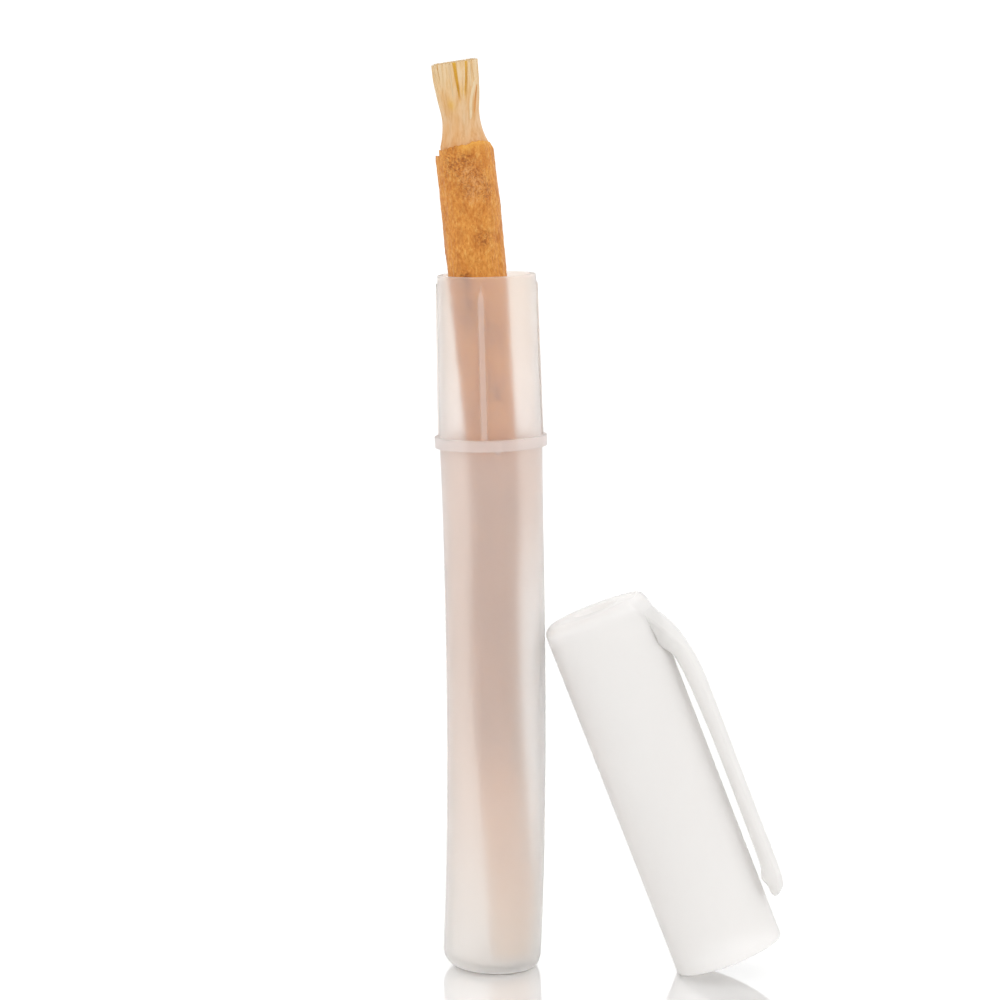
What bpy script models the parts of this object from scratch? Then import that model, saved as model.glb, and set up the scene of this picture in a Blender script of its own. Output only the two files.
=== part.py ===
# A miswak chewing stick in its frosted travel case, with the case's cap leaning against it.
# Lengths are in metres and +Z is up. The origin is the middle of the case's flat underside.

import math

import bpy
from mathutils import Euler, Matrix, Vector, noise

MM = 0.001
DEG = math.pi / 180
CLEARANCE = 0.3 * MM
MERGE = 0.01 * MM

# The case is a thin tube with a closed, flat bottom, a collar and a ribbed neck for the cap.
CASE_HEIGHT = 115.8 * MM
CASE_WALL = 0.95 * MM
CASE_FLOOR = 1.2 * MM
CASE_STEPS = 40
FOOT_RADIUS = 5.85 * MM
FOOT_HEIGHT = 2.8 * MM
BODY_RADIUS_LOW = 8.15 * MM
BODY_RADIUS_HIGH = 8.27 * MM
BODY_FLARE = 0.16 * MM
BODY_FLARE_HEIGHT = 18 * MM
BODY_ROWS = 9
COLLAR_RADIUS = 9.24 * MM
COLLAR_BOTTOM = 87.4 * MM
COLLAR_SLOPE = 0.16 * MM
COLLAR_TOP = 89.35 * MM
NECK_RADIUS_LOW = 8.42 * MM
RIM_RADIUS = 8.06 * MM
RIM_ROUND = 0.2 * MM

# The moulding is warped a little. Its middle strays along X by these amounts.
WARP_AT_FOOT = -1.14 * MM
WARP_AT_RIM = -1.93 * MM
WARP_BULGE = 1.03 * MM
WARP_SKEW = 1.05

# Four thin ribs run up the neck, pointed at their upper ends.
RIB_COUNT = 4
RIB_FIRST_ANGLE = -96.5 * DEG
RIB_WIDTH = 1.3 * MM
RIB_PROUD = 0.3 * MM
RIB_TOP = 114.8 * MM
RIB_POINT = 2.2 * MM
RIB_SUNK = 0.8 * MM

# The cap is a turned shell, open at its lower end, with a shallow dish in its closed end.
CAP_LENGTH = 61.8 * MM
CAP_MOUTH_RADIUS = 9.16 * MM
CAP_END_RADIUS = 9.24 * MM
CAP_WALL = 0.62 * MM
CAP_END_WALL = 2.2 * MM
CAP_END_ROUND = 1.8 * MM
CAP_MOUTH_ROUND = 0.25 * MM
CAP_BORE_ROUND = 2.5 * MM
CAP_STEPS = 40
DISH_RADIUS = 3.6 * MM
DISH_FLOOR_RADIUS = 2.9 * MM
DISH_DEPTH = 0.8 * MM
CAP_LEAN = 21.44 * DEG
CAP_SWING = 7.37 * DEG

# The clip is moulded with the cap, whose corner is cut back along the clip's slanting shoulder.
# The clip's side view is drawn as (height on the cap, distance from the cap's axis), from the
# top of the shoulder down to the tip and back up the inner side.
CLIP_ANGLE = -7 * DEG
CLIP_WIDTH = 4.5 * MM
CLIP_ROOT_WIDTH = 7.2 * MM
CLIP_ROOT_START = 50.5 * MM
CLIP_ROOT_END = 56 * MM
CLIP_EDGE = 0.3 * MM
CLIP_SHOULDER = [(61.4, 7.0), (58.2, 8.65)]
CLIP_BLADE = [(56.4, 9.85), (54.4, 10.95), (52.0, 11.95), (50.2, 12.42), (48.2, 12.75), (45.0, 12.95)]
CLIP_BLADE += [(38.0, 12.98), (20.0, 12.87), (13.2, 12.88), (9.6, 12.79)]
CLIP_TIP = [(8.2, 12.55), (7.4, 12.05), (7.15, 11.4), (7.7, 10.85), (9.1, 10.85)]
CLIP_TIP += [(10.1, 10.35), (11.1, 10.3), (12.7, 10.88)]
CLIP_INNER = [(20.0, 11.0), (30.0, 11.1), (38.0, 11.0), (45.0, 10.72), (48.4, 10.4), (50.7, 9.95)]
CLIP_ROOT = [(52.1, 9.0), (52.4, 6.9), (60.6, 6.2)]

# The stick stands in the case and leans to the left at the rim. Its run is (height, sideways
# place, radius of the bark), from the cut lower end to the bark's ragged upper edge.
STICK_BOTTOM = 1.55 * MM
BARK_TOP = 136.5 * MM
NECK_HEIGHT = 141.2 * MM
TIP_HEIGHT = 150.3 * MM
STICK_STEPS = 48
STICK_RUN = [
    (1.5, 1.9, 3.2), (12.0, 2.0, 3.65), (26.0, 1.1, 3.85), (43.0, -0.15, 3.9), (61.0, -0.5, 3.95),
    (78.0, -0.6, 4.1), (91.0, -1.3, 4.25), (103.0, -2.35, 4.45), (112.0, -3.05, 4.68),
    (118.0, -3.59, 4.75), (126.0, -4.36, 4.76), (134.0, -5.24, 4.76), (142.0, -6.1, 4.75),
    (151.0, -7.0, 4.75),
]
END_ROUND = 0.7 * MM

# It also leans forward, onto the front of the rim: by this much over the case's height, about
# the point at this share of the height.
STICK_LEAN = 1.45 * MM
STICK_UPRIGHT = 0.2

# The bark has long, shallow ridges and knots. A knot is (height, angle in degrees, size, how
# proud). The bark's upper edge slants, is ragged and is torn down at one place.
BARK_RINGS = 29
BARK_THICKNESS = 0.4 * MM
BARK_RELIEF = 0.12 * MM
RIDGE_SPREAD = 1.6
RIDGE_LENGTH = 14 * MM
BARK_SLANT = 0.07
BARK_RAGGED = 0.22 * MM
BARK_WAVES = 3
BARK_TEAR = 1.3 * MM
BARK_TEAR_ANGLE = 178 * DEG
BARK_TEAR_WIDTH = 22 * DEG
EDGE_REACH = 3 * MM
KNOTS = [
    (130.5, -95, 2.6, 0.22), (120.0, -60, 1.8, 0.12), (101.0, -60, 1.8, 0.16), (88.0, 100, 2.4, 0.2),
    (60.0, -80, 2.2, 0.18), (36.0, 150, 2.4, 0.2), (20.0, -40, 2.0, 0.16),
]

# The peeled wood narrows above the bark and flares into a brush of chewed fibres, split by
# slits given as (angle around the stick in steps, depth in millimetres).
CORE_FOOT_RADIUS = 4.2 * MM
CORE_FOOT_SHIFT = 0.32 * MM
CORE_NECK_RADIUS = 3.12 * MM
CORE_RINGS = 4
BRUSH_RADIUS = 3.8 * MM
BRUSH_SHIFT = -0.18 * MM
BRUSH_RINGS = 6
BRUSH_FLARE = 1.6
BRUSH_DISH = 0.5 * MM
BRUSH_EDGE = 0.3 * MM
BRUSH_SLANT = 0.155
BRUSH_JAGGED = 0.15 * MM
BRUSH_WAVES = 11
SLIT_HEIGHT = 6.5 * MM
SLIT_SPREAD = 1.5
SLITS = [(3, 0.7), (9, 1.1), (15, 0.6), (21, 0.9), (27, 0.6), (32, 1.0), (37, 1.3), (40, 1.3), (45, 0.7)]


def clear_scene():
    for item in list(bpy.data.objects):
        bpy.data.objects.remove(item, do_unlink=True)


def new_collection(name):
    collection = bpy.data.collections.new(name)
    bpy.context.scene.collection.children.link(collection)
    return collection


def material(name, colour, roughness, transmission=0.0):
    made = bpy.data.materials.new(name)
    made.use_nodes = True
    shader = made.node_tree.nodes["Principled BSDF"]
    shader.inputs["Base Color"].default_value = (*colour, 1)
    shader.inputs["Roughness"].default_value = roughness
    shader.inputs["Transmission Weight"].default_value = transmission
    shader.inputs["Metallic"].default_value = 0
    return made


def turned(name, outline, steps, collection):
    """Turn an outline of (radius, height) points, which runs down the outer side, about Z."""
    mesh = bpy.data.meshes.new(name)
    edges = [(i, i + 1) for i in range(len(outline) - 1)]
    mesh.from_pydata([(radius, 0, height) for radius, height in outline], edges, [])
    piece = bpy.data.objects.new(name, mesh)
    collection.objects.link(piece)
    screw = piece.modifiers.new("turn", "SCREW")
    screw.steps = screw.render_steps = steps
    screw.use_merge_vertices = True
    screw.merge_threshold = MERGE
    return piece


def settle(piece):
    """Replace an object's modifiers, or a curve, by the mesh that they make."""
    bpy.context.view_layer.update()
    evaluated = piece.evaluated_get(bpy.context.evaluated_depsgraph_get())
    mesh = bpy.data.meshes.new_from_object(evaluated)
    made = bpy.data.objects.new(piece.name, mesh)
    made.matrix_world = piece.matrix_world
    for collection in piece.users_collection:
        collection.objects.link(made)
    name = piece.name
    bpy.data.objects.remove(piece, do_unlink=True)
    made.name = name
    return made


def weld(piece):
    welding = piece.modifiers.new("weld", "WELD")
    welding.merge_threshold = MERGE


def combine(piece, other, operation):
    """Add or cut another solid, which stays as a hidden guide."""
    boolean = piece.modifiers.new(operation.lower(), "BOOLEAN")
    boolean.operation = operation
    boolean.solver = "EXACT"
    boolean.object = other
    other.hide_render = True
    other.display_type = "WIRE"


def flat_outline(name, points, thickness, collection):
    """A flat slab, centred on its own plane, from points joined by straight lines."""
    curve = bpy.data.curves.new(name, "CURVE")
    curve.dimensions = "2D"
    curve.fill_mode = "BOTH"
    curve.extrude = thickness / 2
    spline = curve.splines.new("POLY")
    spline.points.add(len(points) - 1)
    for point, (x, y) in zip(spline.points, points):
        point.co = (x, y, 0, 1)
    spline.use_cyclic_u = True
    piece = bpy.data.objects.new(name, curve)
    collection.objects.link(piece)
    return piece


def finish(piece, look, sharp_angle):
    piece.data.materials.clear()
    piece.data.materials.append(look)
    piece.data.shade_smooth()
    piece.data.set_sharp_from_angle(angle=sharp_angle)


def mix(low, high, part):
    return low + (high - low) * part


def smooth(part):
    part = min(max(part, 0), 1)
    return part * part * (3 - 2 * part)


def turned_apart(angle, other):
    """The signed turn from one angle to another, the short way round."""
    return (angle - other + math.pi) % (2 * math.pi) - math.pi


def arc(middle, radii, start, end, count):
    """Points on a quarter of an ellipse, from one angle to another."""
    angles = [mix(start, end, i / count) for i in range(count + 1)]
    return [(middle[0] + radii[0] * math.cos(a), middle[1] + radii[1] * math.sin(a)) for a in angles]


def between(low, high, count):
    """Points inside a straight stretch, without its ends."""
    return [(mix(low[0], high[0], i / count), mix(low[1], high[1], i / count)) for i in range(1, count)]


def body_radius(height):
    """Outer radius of the case's body, which tapers and flares a little below the collar."""
    flared = max(0, 1 - (COLLAR_BOTTOM - height) / BODY_FLARE_HEIGHT)
    return mix(BODY_RADIUS_LOW, BODY_RADIUS_HIGH, height / COLLAR_BOTTOM) + BODY_FLARE * flared ** 2


def body_side(inset):
    """Points up the body from its foot to the collar, this far inside the outer side."""
    heights = [mix(FOOT_HEIGHT, COLLAR_BOTTOM, row / BODY_ROWS) for row in range(BODY_ROWS + 1)]
    return [(body_radius(height) - inset, height) for height in heights]


def warp(height):
    part = height / CASE_HEIGHT
    bulge = 4 * WARP_BULGE * part * (1 - part) * (1 + WARP_SKEW * (0.5 - part))
    return mix(WARP_AT_FOOT, WARP_AT_RIM, part) + bulge


def case_middle(height):
    """Sideways place of the case's middle. It fades out at the foot, which stays flat."""
    lift = min(max(height / FOOT_HEIGHT, 0), 1)
    return warp(height) * math.sqrt(1 - (1 - lift) ** 2)


def case_slope(height):
    lift = min(max(height / FOOT_HEIGHT, 0), 1)
    return lift * (warp(height + MM) - warp(height - MM)) / (2 * MM)


def case_outline():
    rim, collar = CASE_HEIGHT, COLLAR_RADIUS
    neck = (NECK_RADIUS_LOW, COLLAR_TOP)
    foot_width = body_radius(FOOT_HEIGHT) - FOOT_RADIUS
    outline = arc((RIM_RADIUS - RIM_ROUND, rim - RIM_ROUND), (RIM_ROUND, RIM_ROUND), 90 * DEG, 0, 2)
    outline += between((RIM_RADIUS, rim - RIM_ROUND), neck, 3) + [neck]
    outline += [(collar - RIM_ROUND, COLLAR_TOP), (collar, COLLAR_TOP - RIM_ROUND)]
    outline += [(collar, COLLAR_BOTTOM + COLLAR_SLOPE)] + body_side(0)[:0:-1]
    outline += arc((FOOT_RADIUS, FOOT_HEIGHT), (foot_width, FOOT_HEIGHT), 0, -90 * DEG, 5)
    return outline + [(0, 0)]


def bore_outline():
    """The case's inner side, from the middle of its floor up to the rim."""
    low = body_radius(FOOT_HEIGHT) - CASE_WALL
    high = body_radius(COLLAR_BOTTOM) - CASE_WALL
    corner = FOOT_HEIGHT - CASE_FLOOR
    mouth = RIM_RADIUS - CASE_WALL
    outline = [(0, CASE_FLOOR)]
    outline += arc((low - corner, FOOT_HEIGHT), (corner, corner), -90 * DEG, 0, 3)
    outline += body_side(CASE_WALL)[1:]
    outline += between((high, COLLAR_BOTTOM), (mouth, CASE_HEIGHT), 4)
    return outline + [(mouth, CASE_HEIGHT - RIM_ROUND), (mouth + RIM_ROUND, CASE_HEIGHT)]


def neck_rib(index, guides):
    """One rib, drawn as seen from outside and laid against the slope of the neck."""
    half, foot = RIB_WIDTH / 2, COLLAR_TOP - RIB_SUNK
    length = RIB_TOP - foot
    points = [(-half, 0), (half, 0), (half, length - RIB_POINT), (0, length), (-half, length - RIB_POINT)]
    depth = CASE_WALL / 2 + RIB_PROUD
    rib = settle(flat_outline(f"rib_{index + 1}", points, depth, guides))
    slope = math.atan2(NECK_RADIUS_LOW - RIM_RADIUS, CASE_HEIGHT - COLLAR_TOP)
    reach = NECK_RADIUS_LOW + RIB_PROUD - depth / 2
    turn = RIB_FIRST_ANGLE + index * 2 * math.pi / RIB_COUNT
    stand = Matrix.Translation((reach, 0, foot)) @ Matrix.Rotation(-slope, 4, "Y")
    face_out = Matrix(((0, 0, 1), (1, 0, 0), (0, 1, 0))).to_4x4()
    rib.data.transform(Matrix.Rotation(turn, 4, "Z") @ stand @ face_out)
    weld(rib)
    return settle(rib)


def build_case(parts, guides):
    tube = turned("case_tube", bore_outline() + case_outline(), CASE_STEPS, parts)
    for index in range(RIB_COUNT):
        combine(tube, neck_rib(index, guides), "UNION")
    tube = settle(tube)
    for vertex in tube.data.vertices:
        x, z = vertex.co.x, vertex.co.z
        vertex.co.x = x + case_middle(z)
        vertex.co.z = z - x * case_slope(z)
    finish(tube, material("frosted_case", (0.82, 0.72, 0.67), 0.4, 0.8), 40 * DEG)
    return tube


def cap_outline():
    """The cap's outer form, closed at the mouth, which the bore opens."""
    end, rounding = CAP_LENGTH, CAP_END_ROUND
    edge = CAP_MOUTH_RADIUS - CAP_MOUTH_ROUND
    outline = [(0, end - DISH_DEPTH), (DISH_FLOOR_RADIUS, end - DISH_DEPTH), (DISH_RADIUS, end)]
    outline += arc((CAP_END_RADIUS - rounding, end - rounding), (rounding, rounding), 90 * DEG, 0, 4)
    outline += between((CAP_END_RADIUS, end - rounding), (CAP_MOUTH_RADIUS, CAP_MOUTH_ROUND), 4)
    outline += arc((edge, CAP_MOUTH_ROUND), (CAP_MOUTH_ROUND, CAP_MOUTH_ROUND), 0, -90 * DEG, 2)
    return outline + [(0, 0)]


def cap_bore_outline():
    inside = CAP_END_RADIUS - CAP_WALL
    deep = CAP_LENGTH - DISH_DEPTH - CAP_END_WALL
    corner = (inside - CAP_BORE_ROUND, deep - CAP_BORE_ROUND)
    outline = [(0, deep)] + arc(corner, (CAP_BORE_ROUND, CAP_BORE_ROUND), 90 * DEG, 0, 5)
    return outline + [(CAP_MOUTH_RADIUS - CAP_WALL, 0), (CAP_MOUTH_RADIUS - CAP_WALL, -MM), (0, -MM)]


def build_clip(guides):
    side_view = CLIP_SHOULDER + CLIP_BLADE + CLIP_TIP + CLIP_INNER + CLIP_ROOT
    points = [(out * MM, up * MM) for up, out in side_view]
    clip = settle(flat_outline("clip", points, CLIP_WIDTH, guides))
    clip.data.transform(Matrix.Rotation(90 * DEG, 4, "X"))
    weld(clip)
    bevel = clip.modifiers.new("edges", "BEVEL")
    bevel.width = CLIP_EDGE
    bevel.segments = 2
    bevel.limit_method = "ANGLE"
    bevel.angle_limit = 50 * DEG
    clip = settle(clip)
    for vertex in clip.data.vertices:
        part = (vertex.co.z - CLIP_ROOT_START) / (CLIP_ROOT_END - CLIP_ROOT_START)
        vertex.co.y *= mix(1, CLIP_ROOT_WIDTH / CLIP_WIDTH, smooth(part))
    clip.data.transform(Matrix.Rotation(CLIP_ANGLE, 4, "Z"))
    return clip


def shoulder_cutter(guides):
    """A block whose lower face is the plane of the clip's shoulder."""
    (high, near), (low, far) = [(up * MM, out * MM) for up, out in CLIP_SHOULDER]
    block_size = 4 * CAP_END_RADIUS
    bpy.ops.mesh.primitive_cube_add(size=1)
    block = bpy.context.active_object
    block.name = "shoulder_cutter"
    for collection in block.users_collection:
        collection.objects.unlink(block)
    guides.objects.link(block)
    block.data.transform(Matrix.Scale(block_size, 4) @ Matrix.Translation((0.5, 0, 0)))
    tilt = Matrix.Rotation(-math.atan2(far - near, high - low), 4, "Y")
    stand = Matrix.Translation((near, 0, high)) @ tilt
    block.data.transform(Matrix.Rotation(CLIP_ANGLE, 4, "Z") @ stand)
    return block


def place_cap(cap):
    """Stand the cap on its mouth's lowest edge and lean its upper corner on the case."""
    upright, tilt = math.cos(CAP_LEAN), math.sin(CAP_LEAN)
    lift = (CAP_MOUTH_RADIUS - CAP_MOUTH_ROUND) * tilt + CAP_MOUTH_ROUND * (1 - upright)
    corner = CAP_LENGTH - CAP_END_ROUND
    corner_radius = CAP_END_RADIUS - CAP_END_ROUND
    contact = lift + corner * upright - corner_radius * tilt
    away = body_radius(contact) + CLEARANCE + CAP_END_ROUND + corner * tilt + corner_radius * upright
    side = case_middle(contact) + away * math.cos(CAP_SWING)
    cap.location = (side, -away * math.sin(CAP_SWING), lift)
    cap.rotation_euler = Euler((0, -CAP_LEAN, -CAP_SWING))


def build_cap(parts, guides):
    cap = turned("cap", cap_outline(), CAP_STEPS, parts)
    combine(cap, shoulder_cutter(guides), "DIFFERENCE")
    combine(cap, build_clip(guides), "UNION")
    bore = settle(turned("cap_bore", cap_bore_outline(), CAP_STEPS, guides))
    combine(cap, bore, "DIFFERENCE")
    cap = settle(cap)
    finish(cap, material("white_cap", (0.86, 0.84, 0.82), 0.35, 0.3), 40 * DEG)
    place_cap(cap)
    return cap


def run_at(height):
    """Sideways place and bark radius of the stick, on a smooth curve through its run."""
    run = STICK_RUN
    last = len(run) - 2
    index = next((i for i in range(last) if height < run[i + 1][0] * MM), last)
    before, low = run[max(index - 1, 0)], run[index]
    high, after = run[index + 1], run[min(index + 2, last + 1)]
    span = high[0] - low[0]
    part = min(max((height / MM - low[0]) / span, 0), 1)
    values = []
    for axis in (1, 2):
        start = (high[axis] - before[axis]) / (high[0] - before[0]) * span
        stop = (after[axis] - low[axis]) / (after[0] - low[0]) * span
        square, cube = part ** 2, part ** 3
        value = (2 * cube - 3 * square + 1) * low[axis] + (cube - 2 * square + part) * start
        value += (3 * square - 2 * cube) * high[axis] + (cube - square) * stop
        values.append(value * MM)
    return values


def bark_relief(height, angle):
    """How far the bark stands proud of its mean radius, from long ridges and knots."""
    around = (math.cos(angle) * RIDGE_SPREAD, math.sin(angle) * RIDGE_SPREAD)
    spot = Vector((*around, height / RIDGE_LENGTH))
    relief = BARK_RELIEF * noise.noise(spot)
    for up, degrees, size, proud in KNOTS:
        across = turned_apart(angle, degrees * DEG) * STICK_RUN[-1][2] / size
        along = (height / MM - up) / size
        relief += proud * MM * math.exp(-across * across - along * along)
    return relief


def slit_depth(height, angle):
    """How deep the slits between the fibre bundles cut in at this place on the brush."""
    opening = max(0, (height - TIP_HEIGHT + SLIT_HEIGHT) / SLIT_HEIGHT)
    step = 2 * math.pi / STICK_STEPS
    depth = 0
    for place, deep in SLITS:
        turn = abs(turned_apart(angle, place * step))
        depth = max(depth, deep * MM * max(0, 1 - turn / (SLIT_SPREAD * step)))
    return depth * opening


def stick_outline():
    """The stick turned about a straight axis, from the brush's end down to the cut end."""
    outline = [(0, TIP_HEIGHT - BRUSH_DISH), (BRUSH_RADIUS / 2, TIP_HEIGHT - BRUSH_EDGE)]
    outline += [(BRUSH_RADIUS - BRUSH_EDGE / 2, TIP_HEIGHT), (BRUSH_RADIUS, TIP_HEIGHT - BRUSH_EDGE)]
    for ring in range(1, BRUSH_RINGS + 1):
        part = ring / BRUSH_RINGS
        radius = mix(BRUSH_RADIUS, CORE_NECK_RADIUS, smooth(part ** BRUSH_FLARE))
        outline.append((radius, mix(TIP_HEIGHT, NECK_HEIGHT, part)))
    for ring in range(1, CORE_RINGS + 1):
        part = ring / CORE_RINGS
        radius = mix(CORE_NECK_RADIUS, CORE_FOOT_RADIUS, part ** 2)
        outline.append((radius, mix(NECK_HEIGHT, BARK_TOP, part)))
    bark_radius = run_at(BARK_TOP)[1]
    outline.append((bark_radius - BARK_THICKNESS / 2, BARK_TOP + BARK_THICKNESS / 2))
    for ring in range(BARK_RINGS):
        height = mix(BARK_TOP, STICK_BOTTOM + END_ROUND, ring / (BARK_RINGS - 1))
        bark_radius = run_at(height)[1]
        outline.append((bark_radius, height))
    middle = (bark_radius - END_ROUND, STICK_BOTTOM + END_ROUND)
    outline += arc(middle, (END_ROUND, END_ROUND), 0, -90 * DEG, 2)[1:]
    return outline + [(0, STICK_BOTTOM)]


def grow(vertex):
    """Move a vertex of the straight stick to its place on the real, crooked one."""
    x, y, height = vertex.co
    radius, angle = math.hypot(x, y), math.atan2(y, x)
    on_bark = height < BARK_TOP - MERGE or radius > CORE_FOOT_RADIUS + MERGE
    on_brush = height > NECK_HEIGHT and radius > BRUSH_RADIUS * 0.8
    shift = ragged = 0
    if on_brush:
        radius -= slit_depth(height, angle)
    elif on_bark:
        radius += bark_relief(height, angle)
        tear = turned_apart(angle, BARK_TEAR_ANGLE) / BARK_TEAR_WIDTH
        ragged = -BARK_TEAR * math.exp(-tear * tear)
    elif height < NECK_HEIGHT:
        shift = CORE_FOOT_SHIFT * ((NECK_HEIGHT - height) / (NECK_HEIGHT - BARK_TOP)) ** 2
    x, y = radius * math.cos(angle), radius * math.sin(angle)
    edge = max(0, 1 - abs(height - BARK_TOP) / EDGE_REACH)
    waves = math.sin(BARK_WAVES * angle + 1) + math.sin((2 * BARK_WAVES + 1) * angle) / 2
    ragged += BARK_RAGGED * waves + BARK_SLANT * x
    top = max(0, (height - NECK_HEIGHT) / (TIP_HEIGHT - NECK_HEIGHT))
    shift += BRUSH_SHIFT * smooth(2 * top)
    jagged = BRUSH_JAGGED * math.sin(BRUSH_WAVES * angle) * top ** 4
    height += edge * ragged + top * BRUSH_SLANT * x + jagged
    forward = STICK_LEAN * (height / CASE_HEIGHT - STICK_UPRIGHT)
    vertex.co = (x + shift + run_at(height)[0], y - forward, height)


def build_stick(parts):
    stick = settle(turned("miswak_stick", stick_outline(), STICK_STEPS, parts))
    for vertex in stick.data.vertices:
        grow(vertex)
    finish(stick, material("bark", (0.62, 0.33, 0.09), 0.75), 50 * DEG)
    return stick


def main():
    clear_scene()
    parts = new_collection("miswak_stick_set")
    guides = new_collection("cutters")
    build_stick(parts)
    build_case(parts, guides)
    build_cap(parts, guides)


main()
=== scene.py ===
# A miswak chewing stick standing in its frosted travel case, with the cap leaning on the case.
# Shapes are worked out in millimetres, and become metres as they go into a mesh.
import math
import bmesh
import bpy
import numpy as np
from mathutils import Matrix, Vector


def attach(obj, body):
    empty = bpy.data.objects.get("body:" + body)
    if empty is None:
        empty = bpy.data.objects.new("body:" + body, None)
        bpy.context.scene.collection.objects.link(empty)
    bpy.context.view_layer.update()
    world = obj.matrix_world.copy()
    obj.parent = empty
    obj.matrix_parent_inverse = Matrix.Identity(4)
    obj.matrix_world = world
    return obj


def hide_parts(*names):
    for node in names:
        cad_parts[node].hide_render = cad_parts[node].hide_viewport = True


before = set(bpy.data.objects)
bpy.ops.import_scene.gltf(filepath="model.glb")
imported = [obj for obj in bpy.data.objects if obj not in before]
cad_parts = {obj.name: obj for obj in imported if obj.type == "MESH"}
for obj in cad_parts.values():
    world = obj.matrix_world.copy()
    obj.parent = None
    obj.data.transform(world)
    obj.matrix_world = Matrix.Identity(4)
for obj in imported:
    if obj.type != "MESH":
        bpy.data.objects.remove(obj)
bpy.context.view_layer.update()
mm = 0.001


# small helpers

def ease(part):
    # smooth step from 0 to 1: 3t^2 - 2t^3
    part = np.clip(part, 0, 1)
    return part * part * (3 - 2 * part)


def blendTo(low, high, part):
    return low + (high - low) * part


def apart(angle, other):
    # signed turn between two angles, the short way round, in radians
    return (angle - other + np.pi) % (2 * np.pi) - np.pi


def throughPoints(places, values, where):
    # Hermite cubic through points at uneven places, with each slope taken across its neighbours
    places, values, where = np.asarray(places, float), np.asarray(values, float), np.asarray(where, float)
    before = np.concatenate([[0], np.arange(len(places) - 1)]).astype(int)
    after = np.concatenate([np.arange(1, len(places)), [len(places) - 1]]).astype(int)
    slope = (values[after] - values[before]) / (places[after] - places[before])
    low = np.clip(np.searchsorted(places, where, side="right") - 1, 0, len(places) - 2)
    span = places[low + 1] - places[low]
    part = np.clip((where - places[low]) / span, 0, 1)
    square, cube = part ** 2, part ** 3
    value = (2 * cube - 3 * square + 1) * values[low] + (3 * square - 2 * cube) * values[low + 1]
    return value + span * ((cube - 2 * square + part) * slope[low] + (cube - square) * slope[low + 1])


def ripple(points, size, seed, waves=28):
    # natural unevenness: a sum of plane waves of about one size in random directions, near -1 to 1
    chance = np.random.default_rng(seed)
    turns = chance.normal(size=(waves, 3))
    turns /= np.linalg.norm(turns, axis=1)[:, None]
    turns *= 2 * np.pi / (size * chance.uniform(0.6, 1.7, waves))[:, None]
    phases = chance.uniform(0, 2 * np.pi, waves)
    total = sum(np.sin(points @ turn + phase) for turn, phase in zip(turns, phases))
    return total / math.sqrt(waves)


def arcPoints(middle, radii, start, stop, count):
    # (radius, height) points on a part of an ellipse, angles in degrees
    turn = np.radians(np.linspace(start, stop, count))
    return np.stack([middle[0] + radii[0] * np.cos(turn), middle[1] + radii[1] * np.sin(turn)], axis=1)


def linePoints(start, stop, count):
    part = np.linspace(0, 1, count)[:, None]
    return (1 - part) * np.array(start) + part * np.array(stop)


def allRound(count):
    # evenly spaced angles, once round
    return np.linspace(-np.pi, np.pi, count, endpoint=False)


def turnPair(first, second, angle):
    # two coordinates, turned by an angle
    cos, sin = math.cos(angle), math.sin(angle)
    return first * cos - second * sin, first * sin + second * cos


def roundAxis(radius, angle, height, middle=0):
    # points at a radius, an angle and a height round an upright axis, which stands at middle along X
    radius, angle, height = np.broadcast_arrays(radius, angle, height)
    return np.stack([middle + radius * np.cos(angle), radius * np.sin(angle), height], axis=-1)


def spun(profile, columns):
    # radius, angle and height all over a (radius, height) profile that is spun once round
    radius, turn = np.meshgrid(profile[:, 0], allRound(columns), indexing="ij")
    return radius, turn, np.broadcast_to(profile[:, 1:], radius.shape)


def closedEnds(grid):
    # adds a row that meets in one point before the first row and after the last
    ends = [np.broadcast_to(row.mean(axis=0), (1, *row.shape)) for row in (grid[0], grid[-1])]
    return np.concatenate([ends[0], grid, ends[1]])


def putInScene(name, data):
    thing = bpy.data.objects.new(name, data)
    bpy.context.scene.collection.objects.link(thing)
    return thing


def standAt(thing, place, aim):
    # stands the camera or a lamp at a place and points it at another, both in millimetres
    place, aim = Vector(place) * mm, Vector(aim) * mm
    thing.location = place
    thing.rotation_euler = (aim - place).to_track_quat("-Z", "Y").to_euler()


def surfaceFrom(name, grid, fields=None):
    # quads between neighbours on one or more grids of (rows, columns, xyz), whose columns go once
    # round. Rows run down the outer side, and rows that meet in one point are merged into a pole
    rows, columns = grid.shape[-3:-1]
    grids = grid.reshape(-1, rows, columns, 3)
    index = np.arange(grids[..., 0].size).reshape(len(grids), rows, columns)
    beside = np.roll(index, -1, axis=2)
    quads = np.stack([index[:, :-1], index[:, 1:], beside[:, 1:], beside[:, :-1]], axis=-1).reshape(-1, 4)
    mesh = bpy.data.meshes.new(name)
    mesh.from_pydata((grids.reshape(-1, 3) * mm).tolist(), [], quads.tolist())
    for field, values in (fields or {}).items():
        layer = mesh.attributes.new(field, "FLOAT", "POINT")
        layer.data.foreach_set("value", np.broadcast_to(values, index.shape).ravel().astype(np.float32))
    work = bmesh.new()
    work.from_mesh(mesh)
    bmesh.ops.remove_doubles(work, verts=work.verts, dist=2e-6)
    work.to_mesh(mesh)
    work.free()
    mesh.shade_smooth()
    return putInScene(name, mesh)


def dress(piece, finish, node, sharp=None):
    # gives a piece its material, ties it to the CAD body and hides the CAD node it stands for
    piece.data.materials.clear()
    piece.data.materials.append(finish)
    if sharp:
        piece.data.set_sharp_from_angle(angle=math.radians(sharp))
    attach(piece, "root")
    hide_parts(node)
    return piece


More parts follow.
